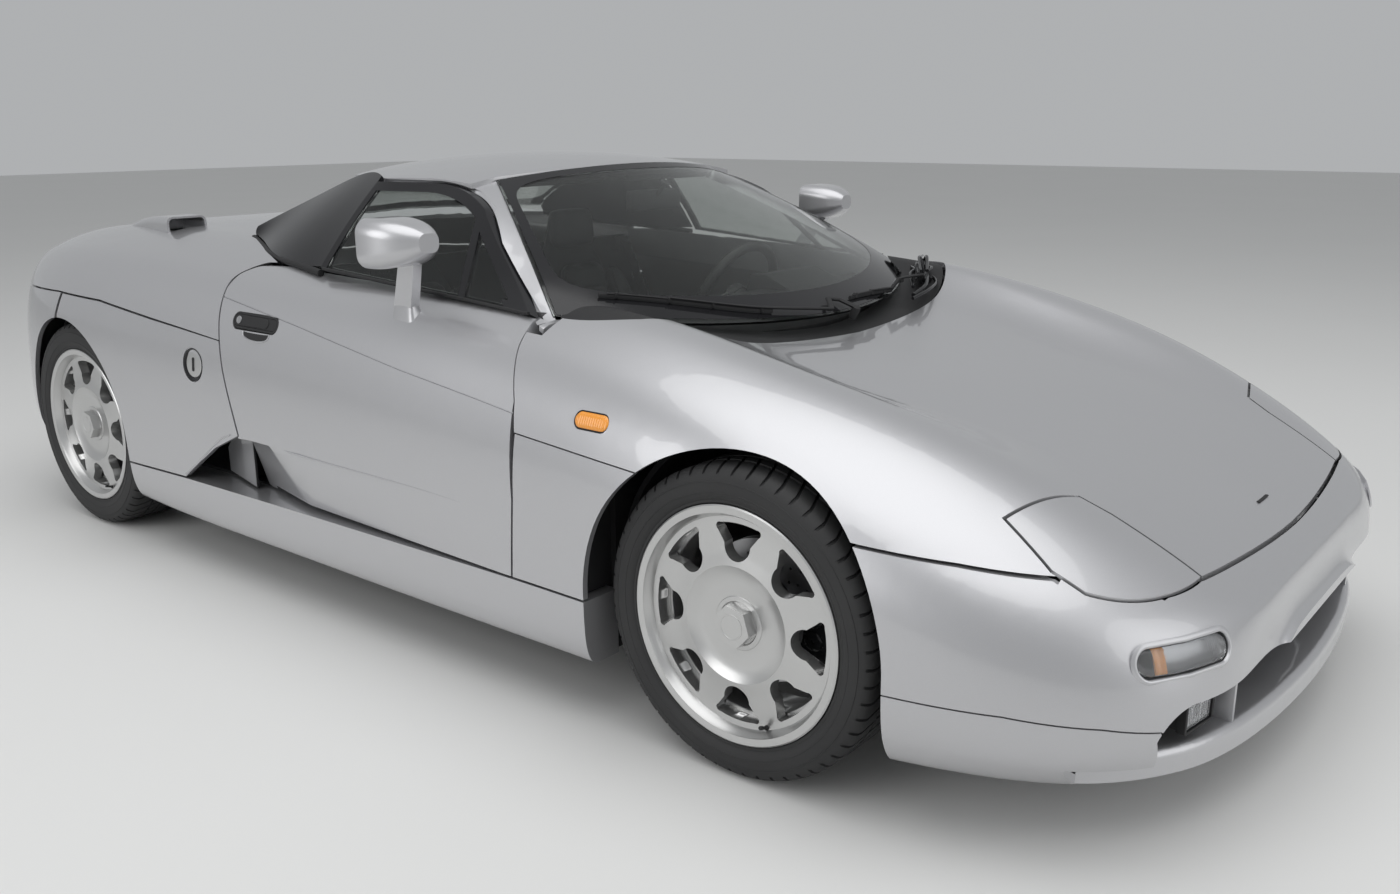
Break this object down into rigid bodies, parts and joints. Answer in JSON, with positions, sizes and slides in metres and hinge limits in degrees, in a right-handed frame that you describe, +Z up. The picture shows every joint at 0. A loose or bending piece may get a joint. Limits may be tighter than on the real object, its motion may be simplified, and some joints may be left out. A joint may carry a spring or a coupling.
{
  "type": "mid-engined two-seat supercar",
  "caption": "Low wedge-shaped sports car with tilting nose and tail lids, doors, pop-up lamps, steering front wheels and rolling wheels.",
  "frame": {"origin": "on the ground under the middle of the car", "axes": "the front towards -Y, the right side towards -X, +Z up"},
  "size_m": [1.9254, 4.1595, 1.1836],
  "materials": {
    "paint": "light silver metallic paint over moulded skin",
    "black_gloss": "gloss black",
    "black_trim": "satin black",
    "glass": "lightly tinted glass",
    "leather": "black leather",
    "engine_metal": "plain cast block",
    "steel": "machined steel",
    "lens": "clear ribbed lens",
    "red_lens": "red lens",
    "amber_lens": "amber lens",
    "alloy": "satin silver",
    "tyre": "black rubber"
  },
  "bodies": {
    "body": {"chassis": "black_trim", "front_box": "black_trim", "rear_frame": "black_trim", "wheelhouses": "black_trim", "nose": "paint", "front_lip": "paint", "side_panels": "paint", "sills": "paint", "rear_bumper": "paint", "windscreen": "glass", "roof": "paint", "buttresses": "black_gloss", "rear_window": "glass", "cowl": "black_gloss", "wipers": "black_trim", "dashboard": "black_trim", "steering_wheel": "leather", "seat_right": "leather", "seat_left": "leather", "engine": "engine_metal", "gearbox": "engine_metal", "exhausts": "steel", "front_lamps": "lens", "tail_lamps": "red_lens", "filler_cap": "paint", "front_arms": "steel", "rear_arms": "steel"},
    "front_lid": {"front_lid": "paint", "side_repeaters": "amber_lens"},
    "rear_lid": {"rear_lid": "paint"},
    "door_right": {"door_right": "paint", "door_frame_right": "black_gloss", "door_glass_right": "glass", "mirror_right": "paint", "handle_right": "black_gloss"},
    "lamp_right": {"lamp_right": "paint"},
    "knuckle_right": {"knuckle_right": "steel"},
    "wheel_front_right": {"tyre_front_right": "tyre", "rim_front_right": "alloy", "disc_front_right": "steel"},
    "wheel_rear_right": {"tyre_rear_right": "tyre", "rim_rear_right": "alloy", "disc_rear_right": "steel"},
    "door_left": {"door_left": "paint", "door_frame_left": "black_gloss", "door_glass_left": "glass", "mirror_left": "paint", "handle_left": "black_gloss"},
    "lamp_left": {"lamp_left": "paint"},
    "knuckle_left": {"knuckle_left": "steel"},
    "wheel_front_left": {"tyre_front_left": "tyre", "rim_front_left": "alloy", "disc_front_left": "steel"},
    "wheel_rear_left": {"tyre_rear_left": "tyre", "rim_rear_left": "alloy", "disc_rear_left": "steel"}
  },
  "joints": [
    {"name": "door_hinge_right", "type": "hinge", "parent": "body", "child": "door_right", "pos_m": [-0.927, -0.598, 0.55], "axis": [0, 0, 1], "range_deg": [0, 65]},
    {"name": "door_hinge_left", "type": "hinge", "parent": "body", "child": "door_left", "pos_m": [0.927, -0.598, 0.55], "axis": [0, 0, -1], "range_deg": [0, 65]},
    {"name": "front_lid_hinge", "type": "hinge", "parent": "body", "child": "front_lid", "pos_m": [0, -2.06, 0.43], "axis": [1, 0, 0], "range_deg": [0, 55]},
    {"name": "rear_lid_hinge", "type": "hinge", "parent": "body", "child": "rear_lid", "pos_m": [0, 2.088, 0.715], "axis": [-1, 0, 0], "range_deg": [0, 45]},
    {"name": "lamp_lift_right", "type": "hinge", "parent": "body", "child": "lamp_right", "pos_m": [-0.63, -1.752, 0.594], "axis": [-1, 0, 0], "range_deg": [0, 38]},
    {"name": "lamp_lift_left", "type": "hinge", "parent": "body", "child": "lamp_left", "pos_m": [0.63, -1.752, 0.594], "axis": [-1, 0, 0], "range_deg": [0, 38]},
    {"name": "steer_right", "type": "hinge", "parent": "body", "child": "knuckle_right", "pos_m": [-0.78, -1.215, 0.322], "axis": [0, 0, 1], "range_deg": [-30, 30]},
    {"name": "steer_left", "type": "hinge", "parent": "body", "child": "knuckle_left", "pos_m": [0.78, -1.215, 0.322], "axis": [0, 0, 1], "range_deg": [-30, 30]},
    {"name": "roll_front_right", "type": "hinge", "parent": "knuckle_right", "child": "wheel_front_right", "pos_m": [-0.78, -1.215, 0.322], "axis": [1, 0, 0], "continuous": true},
    {"name": "roll_rear_right", "type": "hinge", "parent": "body", "child": "wheel_rear_right", "pos_m": [-0.78, 1.405, 0.329], "axis": [1, 0, 0], "continuous": true},
    {"name": "roll_front_left", "type": "hinge", "parent": "knuckle_left", "child": "wheel_front_left", "pos_m": [0.78, -1.215, 0.322], "axis": [1, 0, 0], "continuous": true},
    {"name": "roll_rear_left", "type": "hinge", "parent": "body", "child": "wheel_rear_left", "pos_m": [0.78, 1.405, 0.329], "axis": [1, 0, 0], "continuous": true}
  ],
  "couplings": [
    {"joint": "lamp_lift_left", "follows": "lamp_lift_right", "ratio": 1},
    {"joint": "steer_left", "follows": "steer_right", "ratio": 1}
  ]
}
